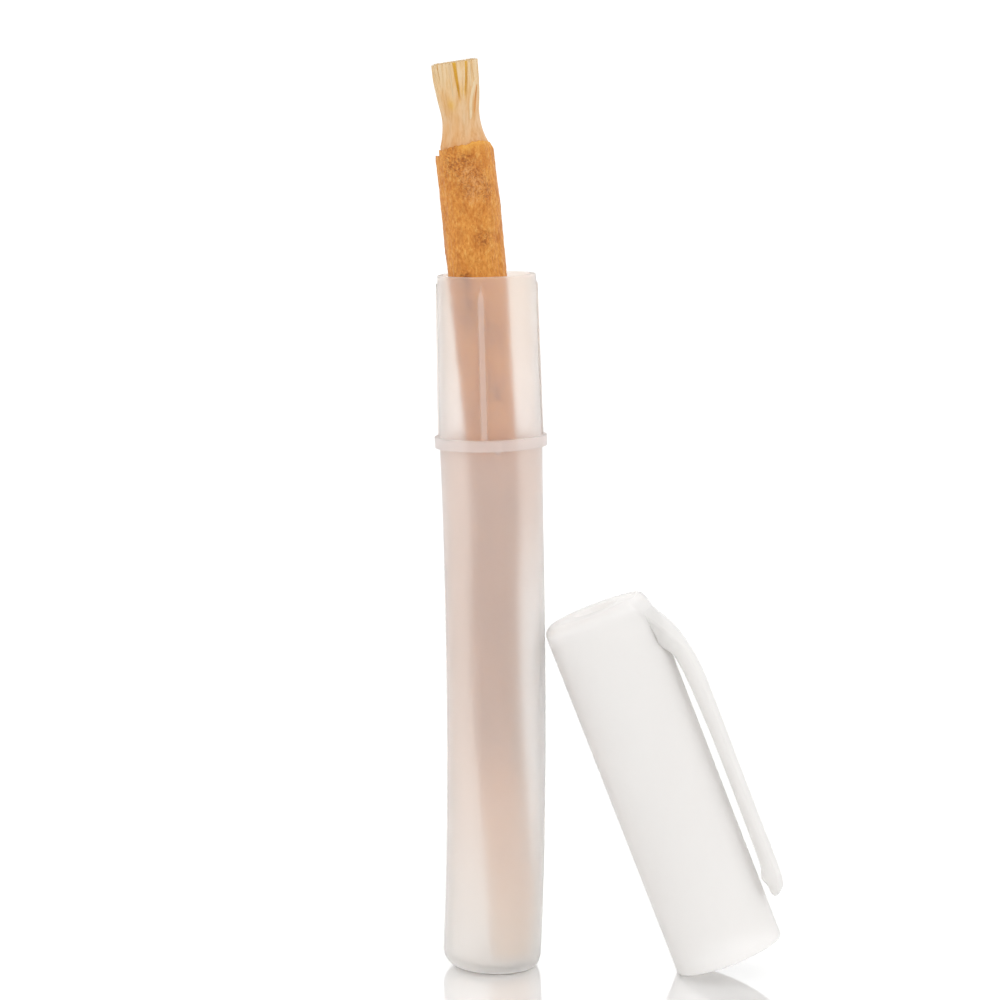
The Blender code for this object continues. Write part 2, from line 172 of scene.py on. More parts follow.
def partByField(piece, field):
    # each face takes the material whose number is the lowest value of this field at its corners
    values = np.empty(len(piece.data.vertices), np.float32)
    piece.data.attributes[field].data.foreach_get("value", values)
    corners = np.empty(len(piece.data.loops), np.int32)
    piece.data.loops.foreach_get("vertex_index", corners)
    starts = np.empty(len(piece.data.polygons), np.int32)
    piece.data.polygons.foreach_get("loop_start", starts)
    lowest = np.minimum.reduceat(values[corners], starts)
    piece.data.polygons.foreach_set("material_index", np.round(lowest).astype(np.int32))


def newFinish(name, settings):
    # a material, with the constant inputs of its shader given by name
    made = bpy.data.materials.new(name)
    made.use_nodes = True
    shader = made.node_tree.nodes["Principled BSDF"]
    for socket, value in settings.items():
        shader.inputs[socket].default_value = value
    return made, made.node_tree, shader


def addNode(tree, kind, links=None, **settings):
    # one shader node: plain settings by name, and inputs as values or as sockets of other nodes
    node = tree.nodes.new("ShaderNode" + kind)
    for key, value in settings.items():
        setattr(node, key, value)
    for socket, value in (links or {}).items():
        if isinstance(value, bpy.types.NodeSocket):
            tree.links.new(value, node.inputs[socket])
        else:
            node.inputs[socket].default_value = value
    return node


def addMath(tree, operation, first, second):
    return addNode(tree, "Math", {0: first, 1: second}, operation=operation).outputs[0]


def addRange(tree, value, source=(0, 1), target=(0, 1)):
    # carries a value from one span to another
    spans = {"From Min": source[0], "From Max": source[1], "To Min": target[0], "To Max": target[1]}
    return addNode(tree, "MapRange", {"Value": value, **spans}).outputs[0]


def fieldOf(tree, name):
    # a value that the mesh holds at its vertices
    return addNode(tree, "Attribute", attribute_name=name).outputs["Fac"]


def addRamp(tree, factor, stops):
    ramp = addNode(tree, "ValToRGB", {"Fac": factor})
    bar = ramp.color_ramp.elements
    while len(bar) < len(stops):
        bar.new(0.5)
    for stop, (place, colour) in zip(bar, stops):
        stop.position = place
        stop.color = (*colour, 1)
    return ramp.outputs["Color"]


def addMix(tree, factor, low, high, blend="MIX"):
    node = addNode(tree, "Mix", data_type="RGBA", blend_type=blend)
    for socket, value in zip((node.inputs[0], node.inputs[6], node.inputs[7]), (factor, low, high)):
        if isinstance(value, bpy.types.NodeSocket):
            tree.links.new(value, socket)
        else:
            socket.default_value = value if isinstance(value, float) else (*value, 1)
    return node.outputs[2]


def addNoise(tree, vector, size, detail=4.0, rough=0.55):
    # noise whose features are about size millimetres across
    settings = {"Vector": vector, "Scale": 1 / (size * mm), "Detail": detail, "Roughness": rough}
    return addNode(tree, "TexNoise", settings).outputs["Fac"]


def stretched(tree, along):
    # object coordinates, with a pattern drawn out along Z by this much
    place = addNode(tree, "TexCoord").outputs["Object"]
    return addNode(tree, "Mapping", {"Vector": place, "Scale": (1, 1, 1 / along)}).outputs["Vector"]


def heightRise(tree, low, high):
    # from 0 to 1 between two heights in millimetres
    place = addNode(tree, "TexCoord").outputs["Object"]
    up = addNode(tree, "SeparateXYZ", {0: place}).outputs["Z"]
    return addRange(tree, up, (low * mm, high * mm))


def addBump(tree, shader, height, depth, strength):
    # fine relief in the light alone, this many millimetres deep
    bump = addNode(tree, "Bump", {"Height": height, "Distance": depth * mm, "Strength": strength})
    tree.links.new(bump.outputs[0], shader.inputs["Normal"])


# the camera, at the photograph's viewing angle

cameraSet = {
    "eye": (0.28, -568.4, 154.33),
    "aim": (0.28, 0.0, 78.58),
    "lens": 125.3,
}


def makeCamera(settings):
    lens = bpy.data.cameras.new("camera")
    lens.lens = settings["lens"]
    lens.sensor_width = 36
    lens.clip_start, lens.clip_end = 0.01, 50
    camera = putInScene("camera", lens)
    standAt(camera, settings["eye"], settings["aim"])
    bpy.context.scene.camera = camera


makeCamera(cameraSet)
print("camera placed")


# the stick: one crooked root, with bark, a peeled neck and a chewed brush

stickSet = {
    "run": [  # height, sideways place and radius of the bark
        (1.5, 1.9, 3.2), (12, 2.0, 3.65), (26, 1.1, 3.85), (43, -0.15, 3.9), (61, -0.5, 3.95),
        (78, -0.6, 4.1), (91, -1.3, 4.25), (103, -2.35, 4.45), (112, -3.05, 4.68), (118, -3.59, 4.75),
        (126, -4.36, 4.76), (134, -5.24, 4.76), (142, -6.1, 4.75), (151, -7.0, 4.75),
    ],
    "lean": 1.45,  # how far it goes forward over the height of the case
    "upright": 0.2,  # the share of that height at which it isn't moved
    "caseHeight": 115.8,
}
stickRun = np.array(stickSet["run"], float)


def stickMiddle(height):
    # how far the stick's middle line wanders sideways
    return throughPoints(stickRun[:, 0], stickRun[:, 1], height)


def barkRadius(height):
    return throughPoints(stickRun[:, 0], stickRun[:, 2], height)


def leanStick(points):
    # leans the upright stick forward, onto the rim of the case
    leant = points.copy()
    leant[..., 1] -= stickSet["lean"] * (points[..., 2] / stickSet["caseHeight"] - stickSet["upright"])
    return leant


barkSet = {
    "bottom": 1.55,
    "endRound": 0.7,
    "columns": 288,
    "rowsShown": 230,
    "rowsInCase": 100,
    "shownFrom": 112.0,
    "edge": [  # angle round the stick in degrees, height of the bark's torn upper edge
        (-180, 135.0), (-163, 135.05), (-152.5, 135.05), (-151.5, 135.95), (-139, 136.05), (-133, 136.3),
        (-127, 136.25), (-121, 136.6), (-114, 136.6), (-108, 136.85), (-102, 136.8), (-95, 136.95),
        (-88, 136.95), (-79, 137.1), (-73, 137.35), (-66, 137.45), (-55, 137.6), (-44, 137.65),
        (-36, 137.6), (-28, 137.45), (-10, 137.2), (15, 136.8), (40, 136.8), (62, 136.4),
        (85, 136.7), (105, 136.2), (122, 135.9), (132, 135.2), (150, 134.6), (166, 134.7),
    ],
    "thick": 0.42,
    "overEdge": [  # from the wood to the skin: shares of thick inward, and how far below the edge
        (4, 0.6), (2, 0.25), (1, 0.12), (0.7, -0.03), (0.4, -0.06), (0.12, -0.02),
    ],
    "woodTop": 134.0,
    "woodRadius": 3.2,
    "wornEdge": 0.2,
    "patternRadius": 4.7,
    "ridges": 0.09,
    "fibres": 0.04,
    "grain": 0.022,
    "knots": [  # height, angle in degrees, size, how proud, how dark
        (130.9, -96, 2.4, 0.2, 0.3), (134.6, -89, 1.2, 0.08, 0.8), (133.7, -120, 1.1, 0.05, 0.75),
        (132.2, -132, 1.0, 0.06, 0.5), (132.0, -106, 0.5, 0.05, 0.7), (129.9, -88, 1.3, -0.04, 0.75),
        (131.6, -64, 0.9, 0.05, 0.7), (130.0, -53, 0.9, 0.04, 0.55), (122.0, -71, 1.4, 0.08, 0.65),
        (115.0, -114, 1.3, 0.04, 1.4), (113.5, -112, 0.9, 0.04, 0.5), (116.0, -130, 1.2, 0.05, 0.3),
        (110.8, -110, 1.7, 0.1, 0.95), (108.4, -115, 1.7, 0.08, 0.9), (106.5, -70, 1.6, 0.08, 1.35),
        (97.0, -75, 1.5, 0.1, 1.35), (93.7, -116, 2.4, 0.06, 0.5), (88, 100, 2.4, 0.2, 0.8),
        (60, -80, 2.2, 0.18, 0.6), (36, 150, 2.4, 0.2, 0.8), (20, -40, 2.0, 0.16, 0.6),
        (124.0, 60, 2.0, 0.18, 0.9), (131.0, 125, 1.4, 0.1, 0.7), (119.0, 170, 1.6, 0.1, 0.7),
        (127.0, 10, 1.2, 0.08, 0.6), (114.5, 20, 1.8, 0.1, 0.7), (123.0, -165, 1.0, 0.06, 0.6),
    ],
    "eyes": [  # height, angle, size of the rings round a lost twig
        (132.4, -82, 1.6), (130.6, -60, 1.2), (124.2, 58, 1.6), (131.2, 128, 1.3),
    ],
    "blush": [(132.2, -86, 1.8), (130.6, -73, 1.7), (128.8, -83, 1.3)],  # height, angle, size of pinker bark
    "creased": [  # height, angle, size of the places where fine lines wind over the bark
        (133.6, -102, 2.2), (132.4, -84, 2.5), (130.6, -67, 2.2), (129.6, -85, 1.5), (134.2, -122, 1.4),
        (129.2, -54, 1.4), (124.2, 60, 2.8), (131.0, 126, 2.2), (119.0, 168, 2.0), (122.0, -71, 1.3),
    ],
}


def barkEdge(angle):
    # height of the bark's torn edge round the stick, with fine teeth of broken fibre
    turns, heights = np.radians([p[0] for p in barkSet["edge"]]), [p[1] for p in barkSet["edge"]]
    line = np.interp(angle, turns, heights, period=2 * np.pi)
    circle = roundAxis(1, angle, 0)
    return line + 0.06 * ripple(circle, 0.25, 5) + 0.035 * ripple(circle, 0.09, 6)


def spots(height, angle, places):
    # one soft round field for each (height, angle, size): exp(-(distance / size)^2)
    radius = barkRadius(height)
    for place in places:
        across = apart(angle, math.radians(place[1])) * radius / place[2]
        along = (height - place[0]) / place[2]
        yield np.exp(-across ** 2 - along ** 2)


def makeBark(settings):
    angle = allRound(settings["columns"])
    edge = barkEdge(angle)
    low = settings["bottom"] + settings["endRound"]
    shown = np.linspace(0, 1, settings["rowsShown"])[:, None]
    height = blendTo(edge[None], settings["shownFrom"], shown ** 1.1)
    inside = np.linspace(settings["shownFrom"], low, settings["rowsInCase"])[1:, None]
    height = np.concatenate([height, np.repeat(inside, len(angle), axis=1)])
    turn = np.broadcast_to(angle, height.shape)
    below = edge[None] - height

    # the outer skin stands at the bark's radius, moved by ridges along the stick, fibres and knots
    flat = roundAxis(settings["patternRadius"], turn, height)
    skin = settings["ridges"] * ripple(flat * (1, 1, 0.16), 3.6, 1)
    skin += settings["fibres"] * ripple(flat * (1, 1, 0.2), 1.0, 2, 40)
    fine = ease((height - settings["shownFrom"]) / 3)
    skin += settings["grain"] * fine * ripple(flat * (1, 1, 0.45), 0.55, 3, 60)
    stain = np.zeros_like(height)
    wrinkles = 0.75 + 0.5 * ripple(flat * (1, 1, 1.6), 0.7, 11)
    for knot, field in zip(settings["knots"], spots(height, turn, settings["knots"])):
        skin += knot[3] * field * wrinkles
        stain = np.maximum(stain, knot[4] * field * np.clip(wrinkles, 0, 1.3))
    wander = 2.2 * ripple(flat, 1.4, 13)
    for eye, field in zip(settings["eyes"], spots(height, turn, settings["eyes"])):
        # the distance from the eye's middle is read back from its field, and waves run round it
        distance = np.sqrt(-np.log(np.clip(field, 1e-9, 1))) * eye[2]
        rings = np.sin(2 * np.pi * distance / 0.5 + wander) * field
        skin += 0.035 * rings
        stain = np.maximum(stain, 0.9 * np.clip(-rings, 0, 1))
    blush = np.max(list(spots(height, turn, settings["blush"])), axis=0)
    creased = np.clip(1.25 * np.max(list(spots(height, turn, settings["creased"])), axis=0), 0, 1)
    lift = np.exp(-(below / 0.35) ** 2)  # the torn edge curls out a little
    worn = settings["wornEdge"] * (1 + np.cos(turn)) * np.exp(-(below / 0.55) ** 2)
    radius = barkRadius(height) + skin * (1 - 0.4 * lift) - worn

    # from the front to the right the torn edge is a golden rim, and elsewhere the bark is darker in places
    # just below it
    golden = ease((np.degrees(turn) + 112) / 20) * ease((20 - np.degrees(turn)) / 20)
    edgeDarkening = 0.6 * np.exp(-(below / 0.5) ** 2) * (1 - golden)
    stain = np.maximum(stain, edgeDarkening * (ripple(flat, 0.9, 12) > -0.2))
    rim = np.exp(-(below / 0.75) ** 2) * golden

    # above the skin: over the torn edge and down to a disc inside the wood. Below: the cut end
    def ring(away, up):
        return roundAxis(away, angle, up, stickMiddle(up))

    top = [ring(0, settings["woodTop"]), ring(settings["woodRadius"], settings["woodTop"])]
    for inward, down in settings["overEdge"]:
        top.append(ring(radius[0] - inward * settings["thick"], edge - down))
    bottom = []
    for corner in np.radians([22, 45, 68, 90]):
        inward = settings["endRound"] * (1 - math.cos(corner))
        bottom.append(ring(radius[-1] - inward, low - settings["endRound"] * math.sin(corner)))
    bottom.append(ring(0, settings["bottom"]))
    grid = np.concatenate([top, roundAxis(radius, turn, height, stickMiddle(height)), bottom])

    def padded(values, above):
        # the skin's own values, with one value for all the rows above it and 0 below
        rows = np.full((len(top), len(angle)), above), values, np.zeros((len(bottom), len(angle)))
        return np.concatenate(rows)

    # bare wood shows inside the torn edge and in the middle of the cut end
    wood = padded(0 * height, 0.0)
    wood[:5] = 1
    wood[-2:] = 1
    fields = {"stain": padded(stain, 0.3), "blush": padded(blush, 0.0), "wood": wood,
              "creased": padded(creased * (1 - rim), 0.0), "rim": padded(rim, 0.5)}
    return surfaceFrom("bark", leanStick(grid), fields)


def barkFinish():
    finish, tree, shader = newFinish("goldenBark", {
        "Roughness": 0.75, "Specular IOR Level": 0.25, "Sheen Weight": 0.12,
    })
    fibre = addNoise(tree, stretched(tree, 1.9), 0.42, 6.0, 0.68)
    strand = addNoise(tree, stretched(tree, 5.0), 1.3, 3.0)
    mottle = addNoise(tree, stretched(tree, 1.3), 2.6, 5.0, 0.62)
    cells = {"Vector": stretched(tree, 1.5), "Scale": 1 / (0.42 * mm)}
    pore = addNode(tree, "TexVoronoi", cells).outputs["Distance"]
    colour = addRamp(tree, fibre, [(0.3, (0.5, 0.165, 0.022)), (0.47, (0.65, 0.25, 0.044)),
                                   (0.56, (0.71, 0.31, 0.062)), (0.7, (0.8, 0.425, 0.12))])
    patches = addRamp(tree, mottle, [(0.34, (0.8, 0.7, 0.6)), (0.5, (1, 1, 1)), (0.66, (1.0, 1.05, 1.12))])
    colour = addMix(tree, 0.85, colour, patches, "MULTIPLY")
    streaks = addRamp(tree, strand, [(0.38, (0.88, 0.82, 0.74)), (0.52, (1, 1, 1))])
    colour = addMix(tree, 0.7, colour, streaks, "MULTIPLY")
    pits = addRamp(tree, pore, [(0.06, (0.5, 0.38, 0.3)), (0.22, (1, 1, 1))])
    colour = addMix(tree, 0.5, colour, pits, "MULTIPLY")

    # round the knots the bark is wrinkled, dark in the folds and paler on them
    wrinkle = addNoise(tree, stretched(tree, 0.8), 0.5, 2.0, 0.5)
    stain = fieldOf(tree, "stain")
    folds = addRamp(tree, wrinkle, [(0.42, (1, 1, 1)), (0.5, (0.6,) * 3), (0.6, (0.3,) * 3)])
    colour = addMix(tree, addMath(tree, "MULTIPLY", stain, folds), colour, (0.26, 0.07, 0.012))

    # there, fine dark lines wind round: contour lines of a soft noise, where its ping-pong is near 0
    swirl = addNoise(tree, stretched(tree, 0.8), 2.1, 2.0, 0.5)
    contour = addRange(tree, addMath(tree, "PINGPONG", swirl, 0.05), (0, 0.05))
    lines = addRamp(tree, contour, [(0.0, (0.85,) * 3), (0.16, (0.6,) * 3), (0.4, (0,) * 3)])
    lined = addMath(tree, "MULTIPLY", fieldOf(tree, "creased"), lines)
    colour = addMix(tree, lined, colour, (0.3, 0.09, 0.02))
    dapple = addRamp(tree, fibre, [(0.42, (0,) * 3), (0.6, (0.8,) * 3)])
    dappled = addMath(tree, "MULTIPLY", fieldOf(tree, "blush"), dapple)
    colour = addMix(tree, dappled, colour, (0.7, 0.33, 0.12))
    rimmed = addMath(tree, "MULTIPLY", fieldOf(tree, "rim"), 0.7)
    colour = addMix(tree, rimmed, colour, addMix(tree, fibre, (0.68, 0.28, 0.03), (0.84, 0.46, 0.1)))
    colour = addMix(tree, fieldOf(tree, "wood"), colour, (0.7, 0.4, 0.12))

    # painted shade: inside the case the bark is darker from 38 to 81 mm up, behind the hazy body, and paler
    # from 42 mm down to the cut end
    rise = heightRise(tree, 0, 100)
    shade = addRamp(tree, rise, [(0.28, (1, 1, 1)), (0.38, (0.7,) * 3),
                                 (0.81, (0.7,) * 3), (0.89, (1, 1, 1))])
    colour = addMix(tree, 1.0, colour, shade, "MULTIPLY")
    pale = addRamp(tree, rise, [(0.05, (0.75,) * 3), (0.17, (0.5,) * 3),
                                (0.27, (0.42,) * 3), (0.42, (0,) * 3)])
    colour = addMix(tree, pale, colour, (0.85, 0.64, 0.45))
    tree.links.new(colour, shader.inputs["Base Color"])
    grain = addMath(tree, "ADD", fibre, pore)
    addBump(tree, shader, addMath(tree, "ADD", grain, addMath(tree, "MULTIPLY", wrinkle, stain)), 0.13, 0.8)
    tree.links.new(addRange(tree, mottle, target=(0.6, 0.9)), shader.inputs["Roughness"])
    return finish


dress(makeBark(barkSet), barkFinish(), "miswak_stick", 60)
print("bark made")


brushSet = {
    "neckHeight": 141.2,
    "tipHeight": 150.3,
    "neckRadius": 3.12,
    "brushRadius": 3.8,
    "footRadius": 4.2,
    "footShift": 0.32,
    "tipShift": -0.18,
    "tipShiftFrom": 140.0,
    "tipShiftOver": 4.0,
    "barkTop": 136.5,
    "flare": 1.6,
    "slant": 0.155,
    "slantOver": 9.0,
    "frayedFrom": 140.5,
    "frayedOver": 6.0,
    "columns": 360,
    "rows": [(150.12, 141.0, 130), (140.93, 134.6, 80)],  # heights from and to, and number of rows
    "patternRadius": 3.4,
    "spotRadius": 3.3,
    "strands": 520,
    "strandRadius": 0.15,
    "sides": 5,
    "sunk": 0.35,
    "rimShare": 0.88,
    "rimFoot": (140.5, 144.5),
    "innerFoot": 147.5,
    "splay": 0.1,
    "splayFrom": 149.0,
    "splayOver": 1.4,
    "slits": [  # angle at the tip, angle at the low end and half width, in degrees, lowest height, depth
        (-91, -83, 5.0, 143.0, 0.42), (-57, -70, 4.2, 143.4, 0.36), (-13, -18, 3, 142.8, 0.3),
        (35, 30, 4, 144, 0.8), (80, 86, 3.5, 145, 0.7), (128, 122, 4, 143.5, 0.8),
        (172, 166, 4, 145.5, 0.6), (-140, -133, 2.5, 147, 0.35),
    ],
    "spots": [  # height, angle, size of golden spots
        (143.4, -110, 0.6), (145.6, -73, 0.5), (142.3, 60, 0.7), (144.8, 150, 0.6),
    ],
    "loose": [  # angle and height at the top, then at the foot, radius, paleness
        (-36, 147.6, -63, 140.5, 0.3, 0.85), (-22, 147.0, -46, 141.2, 0.24, -1.0),
        (-118, 146.0, -112, 141.6, 0.13, 0.9), (14, 147.5, 2, 141.8, 0.2, 1.1),
        (62, 148, 75, 142, 0.18, 0.2), (110, 147, 104, 141, 0.2, 1.2),
        (150, 148.5, 139, 142.2, 0.18, -0.6), (-165, 147.6, -158, 141.5, 0.18, 0.9),
        (-68, 149.8, -75, 142.6, 0.12, 0.3),
    ],
}


def footShare(height):
    # from 0 at the neck to 1 at the bark, and steeper towards the bark
    span = brushSet["neckHeight"] - brushSet["barkTop"]
    return np.clip((brushSet["neckHeight"] - height) / span, 0, 1) ** 2


def brushOutline(height):
    # radius of the peeled wood: wide at the bark, narrow at the neck, flared again at the tip
    s = brushSet
    up = np.clip((s["tipHeight"] - height) / (s["tipHeight"] - s["neckHeight"]), 0, 1)
    flared = blendTo(s["brushRadius"], s["neckRadius"], ease(up ** s["flare"]))
    foot = blendTo(s["neckRadius"], s["footRadius"], footShare(height))
    return np.where(height > s["neckHeight"], flared, foot)


def peeledMiddle(height):
    # the stick's middle line, with the foot of the peeled wood and the brush set a little to one side
    s = brushSet
    tip = ease((height - s["tipShiftFrom"]) / s["tipShiftOver"])
    return stickMiddle(height) + s["footShift"] * footShare(height) + s["tipShift"] * tip


def slitPlace(slit, height):
    # how far a slit has reached at a height, from 0 at its low end to 1 at the tip, and its angle
    part = (height - slit[3]) / (brushSet["tipHeight"] - slit[3])
    return np.clip(part, 0, 1), np.radians(blendTo(slit[1], slit[0], np.clip(part, 0, 1)))


def slitDepth(height, angle):
    # V-shaped cuts, narrow and shallow at their low ends
    depth = np.zeros_like(height)
    for slit in brushSet["slits"]:
        reach, place = slitPlace(slit, height)
        half = math.radians(slit[2]) * (0.35 + 0.65 * reach)
        near = ease(1.35 - np.abs(apart(angle, place)) / half)
        depth = np.maximum(depth, slit[4] * near * ease(reach * 2.2))
    return depth


def brushPoints(away, angle, height):
    # places this far from the peeled wood's middle. Its end is chewed aslant, so one side stands higher
    rise = np.clip((height - brushSet["neckHeight"]) / brushSet["slantOver"], 0, 1)
    lift = brushSet["slant"] * away * np.cos(angle) * rise
    return leanStick(roundAxis(away, angle, height + lift, peeledMiddle(height)))


def makePeeledWood(settings):
    rise = np.concatenate([np.linspace(*rows) for rows in settings["rows"]])
    height, turn = np.meshgrid(rise, allRound(settings["columns"]), indexing="ij")
    flat = roundAxis(settings["patternRadius"], turn, height)
    frayed = ease((height - settings["frayedFrom"]) / settings["frayedOver"])
    groove = ripple(flat * (1, 1, 0.05), 0.42, 21, 40)
    groove -= 0.6 * np.abs(ripple(flat * (1, 1, 0.07), 0.8, 22, 40))
    radius = brushOutline(height) + (0.012 + 0.025 * frayed) * groove
    radius += 0.04 * ripple(flat * (1, 1, 0.2), 3.0, 23)
    depth = slitDepth(height, turn)
    radius -= 0.06 * frayed + depth
    golden = 2.6 * depth
    for place in settings["spots"]:
        across = apart(turn, math.radians(place[1])) * settings["spotRadius"] / place[2]
        along = (height - place[0]) / (1.5 * place[2])
        golden = np.maximum(golden, 0.5 * np.exp(-across ** 2 - along ** 2))
    ends = np.zeros((1, settings["columns"]))
    golden = np.clip(np.concatenate([ends, golden, ends]), 0, 1)
    return surfaceFrom("peeledWood", closedEnds(brushPoints(radius, turn, height)), {"slit": golden})


def tubesAlong(name, middle, thick, tint, sides):
    # one thin tube for each row of ring centres. Its radius tapers to a point at both ends
    circle = roundAxis(1, np.linspace(0, 2 * np.pi, sides, endpoint=False), 0)
    part = np.linspace(0, 1, middle.shape[1])
    swell = np.sqrt(np.clip(1 - (2 * part - 1) ** 8, 0, 1)) * thick[:, None]
    grid = middle[:, :, None, :] + swell[:, :, None, None] * circle
    return surfaceFrom(name, grid, {"tint": np.broadcast_to(tint[:, None, None], grid.shape[:3])})


def makeStrands(settings):
    # chewed fibres, packed evenly over the end by turning each one on by the golden angle
    chance = np.random.default_rng(8)
    count, rings = settings["strands"], 10
    order = np.arange(count)
    share = np.sqrt((order + 0.5) / count)
    around = order * math.radians(137.508) + chance.normal(0, 0.02, count)
    rim = share > settings["rimShare"]
    thick = settings["strandRadius"] * chance.uniform(0.8, 1.2, count)
    start = np.where(rim, chance.uniform(*settings["rimFoot"], count), settings["innerFoot"])
    stop = settings["tipHeight"] + chance.uniform(-0.05, 0.2, count) - 0.15 * (1 - share)
    for slit in settings["slits"]:
        middle = math.radians((slit[0] + slit[1]) / 2)
        spread = math.radians(abs(slit[0] - slit[1]) / 2 + slit[2])
        inSlit = (np.abs(apart(around, middle)) < spread) & rim
        stop = np.where(inSlit, slit[3] + 0.6, stop)
        start = np.where(inSlit, slit[3] - 1.6, start)

    # each strand keeps its share of the outline's radius, sinks in at its foot and splays at its tip
    part = np.linspace(1, 0, rings)[None]
    height = blendTo(start[:, None], stop[:, None], part)
    sunk = settings["sunk"] * (1 - ease((height - start[:, None]) / 2.6)) * rim[:, None]
    away = share[:, None] * (brushOutline(height) - 0.75 * thick[:, None]) - sunk
    splayed = ease((height - settings["splayFrom"]) / settings["splayOver"])
    away += settings["splay"] * splayed * share[:, None] ** 4
    away += 0.02 * np.sin(height * chance.uniform(1, 2.4, (count, 1)) + order[:, None])
    twist = around[:, None] + 0.012 * np.sin(height * 1.3 + order[:, None] * 2.1)
    tint = chance.uniform(0, 0.8, count)
    return tubesAlong("chewedFibres", brushPoints(away, twist, height), thick, tint, settings["sides"])


def makeLooseFibres(settings):
    # a few stray fibres that lie across the brush, half sunk in it
    loose = np.array(settings["loose"])
    part = np.linspace(0, 1, 24)[None]
    angle = np.radians(blendTo(loose[:, :1], loose[:, 2:3], part)) + 0.03 * np.sin(7 * part + loose[:, :1])
    height = blendTo(loose[:, 1:2], loose[:, 3:4], part)
    away = brushOutline(height) - 0.16 - 0.25 * np.abs(2 * part - 1) ** 4
    return tubesAlong("looseFibres", brushPoints(away, angle, height), loose[:, 4], loose[:, 5], 8)


def peeledFinish():
    finish, tree, shader = newFinish("peeledWood", {"Roughness": 0.6, "Specular IOR Level": 0.3})
    colour = addRamp(tree, heightRise(tree, 137, 150), [
        (0.0, (0.69, 0.395, 0.18)), (0.3, (0.71, 0.46, 0.25)), (0.55, (0.72, 0.47, 0.243)),
        (0.75, (0.74, 0.51, 0.27)), (1.0, (0.75, 0.57, 0.355)),
    ])
    fine = addNoise(tree, stretched(tree, 14.0), 0.35, 4.0, 0.6)
    streaks = addRamp(tree, fine, [(0.35, (0.86, 0.77, 0.62)), (0.5, (1, 1, 1)), (0.68, (1.04, 1.07, 1.14))])
    colour = addMix(tree, 0.7, colour, streaks, "MULTIPLY")
    blotch = addRamp(tree, addNoise(tree, stretched(tree, 3.0), 1.5, 3.0),
                     [(0.34, (0.97, 1.02, 1.08)), (0.48, (1, 1, 1)), (0.66, (0.93, 0.8, 0.58))])
    colour = addMix(tree, 0.75, colour, blotch, "MULTIPLY")
    colour = addMix(tree, fieldOf(tree, "slit"), colour, (0.72, 0.42, 0.05))
    tree.links.new(colour, shader.inputs["Base Color"])
    addBump(tree, shader, fine, 0.05, 0.6)
    return finish


def fibreFinish():
    # tint runs from 0, like the wood, to 1, pale. Past that the loose fibres are whiter or more orange
    finish, tree, shader = newFinish("chewedFibre", {"Roughness": 0.55, "Specular IOR Level": 0.3})
    colour = addRamp(tree, addRange(tree, fieldOf(tree, "tint"), (-1.0, 1.5)), [
        (0.0, (0.64, 0.3, 0.09)), (0.4, (0.73, 0.49, 0.24)), (0.6, (0.75, 0.54, 0.305)),
        (0.8, (0.76, 0.61, 0.4)), (1.0, (0.8, 0.7, 0.56)),
    ])
    fine = addNoise(tree, stretched(tree, 10.0), 0.3, 3.0)
    streaks = addRamp(tree, fine, [(0.36, (0.86, 0.78, 0.64)), (0.55, (1, 1, 1))])
    colour = addMix(tree, 0.7, colour, streaks, "MULTIPLY")
    tree.links.new(colour, shader.inputs["Base Color"])
    addBump(tree, shader, fine, 0.03, 0.5)
    return finish


dress(makePeeledWood(brushSet), peeledFinish(), "miswak_stick")
chewedFibre = fibreFinish()
dress(makeStrands(brushSet), chewedFibre, "miswak_stick")
dress(makeLooseFibres(brushSet), chewedFibre, "miswak_stick")
print("peeled wood and chewed fibres made")


# the travel case: a thin frosted tube with a collar, and a neck with four ribs for the cap

caseSet = {
    "height": 115.8,
    "wall": 0.95,
    "floor": 1.2,
    "footRadius": 5.85,
    "footHeight": 2.8,
    "bodyLow": 8.15,
    "bodyHigh": 8.27,
    "flare": 0.16,
    "flareHeight": 18.0,
    "collarRadius": 9.24,
    "collarBottom": 87.4,
    "collarSlope": 0.16,
    "collarTop": 89.35,
    "neckLow": 8.42,
    "rimRadius": 8.06,
    "rimRound": 0.22,
    "edgeRound": 0.12,
    "warp": {"foot": -1.14, "rim": -1.93, "bulge": 1.03, "skew": 1.05},
    "ribs": {"first": -96.5, "width": 1.15, "proud": 0.3, "top": 114.8, "point": 2.2, "soft": 0.22},
    "label": {
        "left": -109.5, "right": -26.0, "radius": 8.4, "low": 24.0, "high": 84.4,
        "thick": 0.035, "soft": 0.12,
    },
    "gate": {"angle": -82.5, "radius": 8.5, "height": 87.4, "size": 0.45, "tall": 0.4, "proud": 0.3},
    # painted light on the side turned to the cap: where it starts, how far it grows, and the heights where it
    # fades
    "clear": {"side": 1.5, "over": 5.0, "low": 4.0, "high": 84.0, "fade": 30.0},
    "columns": 300,
}


def caseWarp(height):
    # the moulding is bowed a little: how far its middle strays along X
    s = caseSet["warp"]
    part = height / caseSet["height"]
    bulge = 4 * s["bulge"] * part * (1 - part) * (1 + s["skew"] * (0.5 - part))
    return blendTo(s["foot"], s["rim"], part) + bulge


def bend(points):
    # carries points of the straight tube along the bow, which fades out at the flat foot
    lift = np.clip(points[..., 2] / caseSet["footHeight"], 0, 1)
    height = points[..., 2]
    side = caseWarp(height) * np.sqrt(1 - (1 - lift) ** 2)
    slope = lift * (caseWarp(height + 1) - caseWarp(height - 1)) / 2
    bent = points.copy()
    bent[..., 0] += side
    bent[..., 2] -= points[..., 0] * slope
    return bent


def bodyRadius(height):
    # the body tapers downwards, and flares a little below the collar
    s = caseSet
    flared = np.clip(1 - (s["collarBottom"] - height) / s["flareHeight"], 0, 1)
    return blendTo(s["bodyLow"], s["bodyHigh"], height / s["collarBottom"]) + s["flare"] * flared ** 2


def bodySide(start, stop, count, inset):
    # (radius, height) points along the body, this far inside its outer side, closest at the start
    height = blendTo(start, stop, np.linspace(0, 1, count) ** 1.25)
    return np.stack([bodyRadius(height) - inset, height], axis=1)


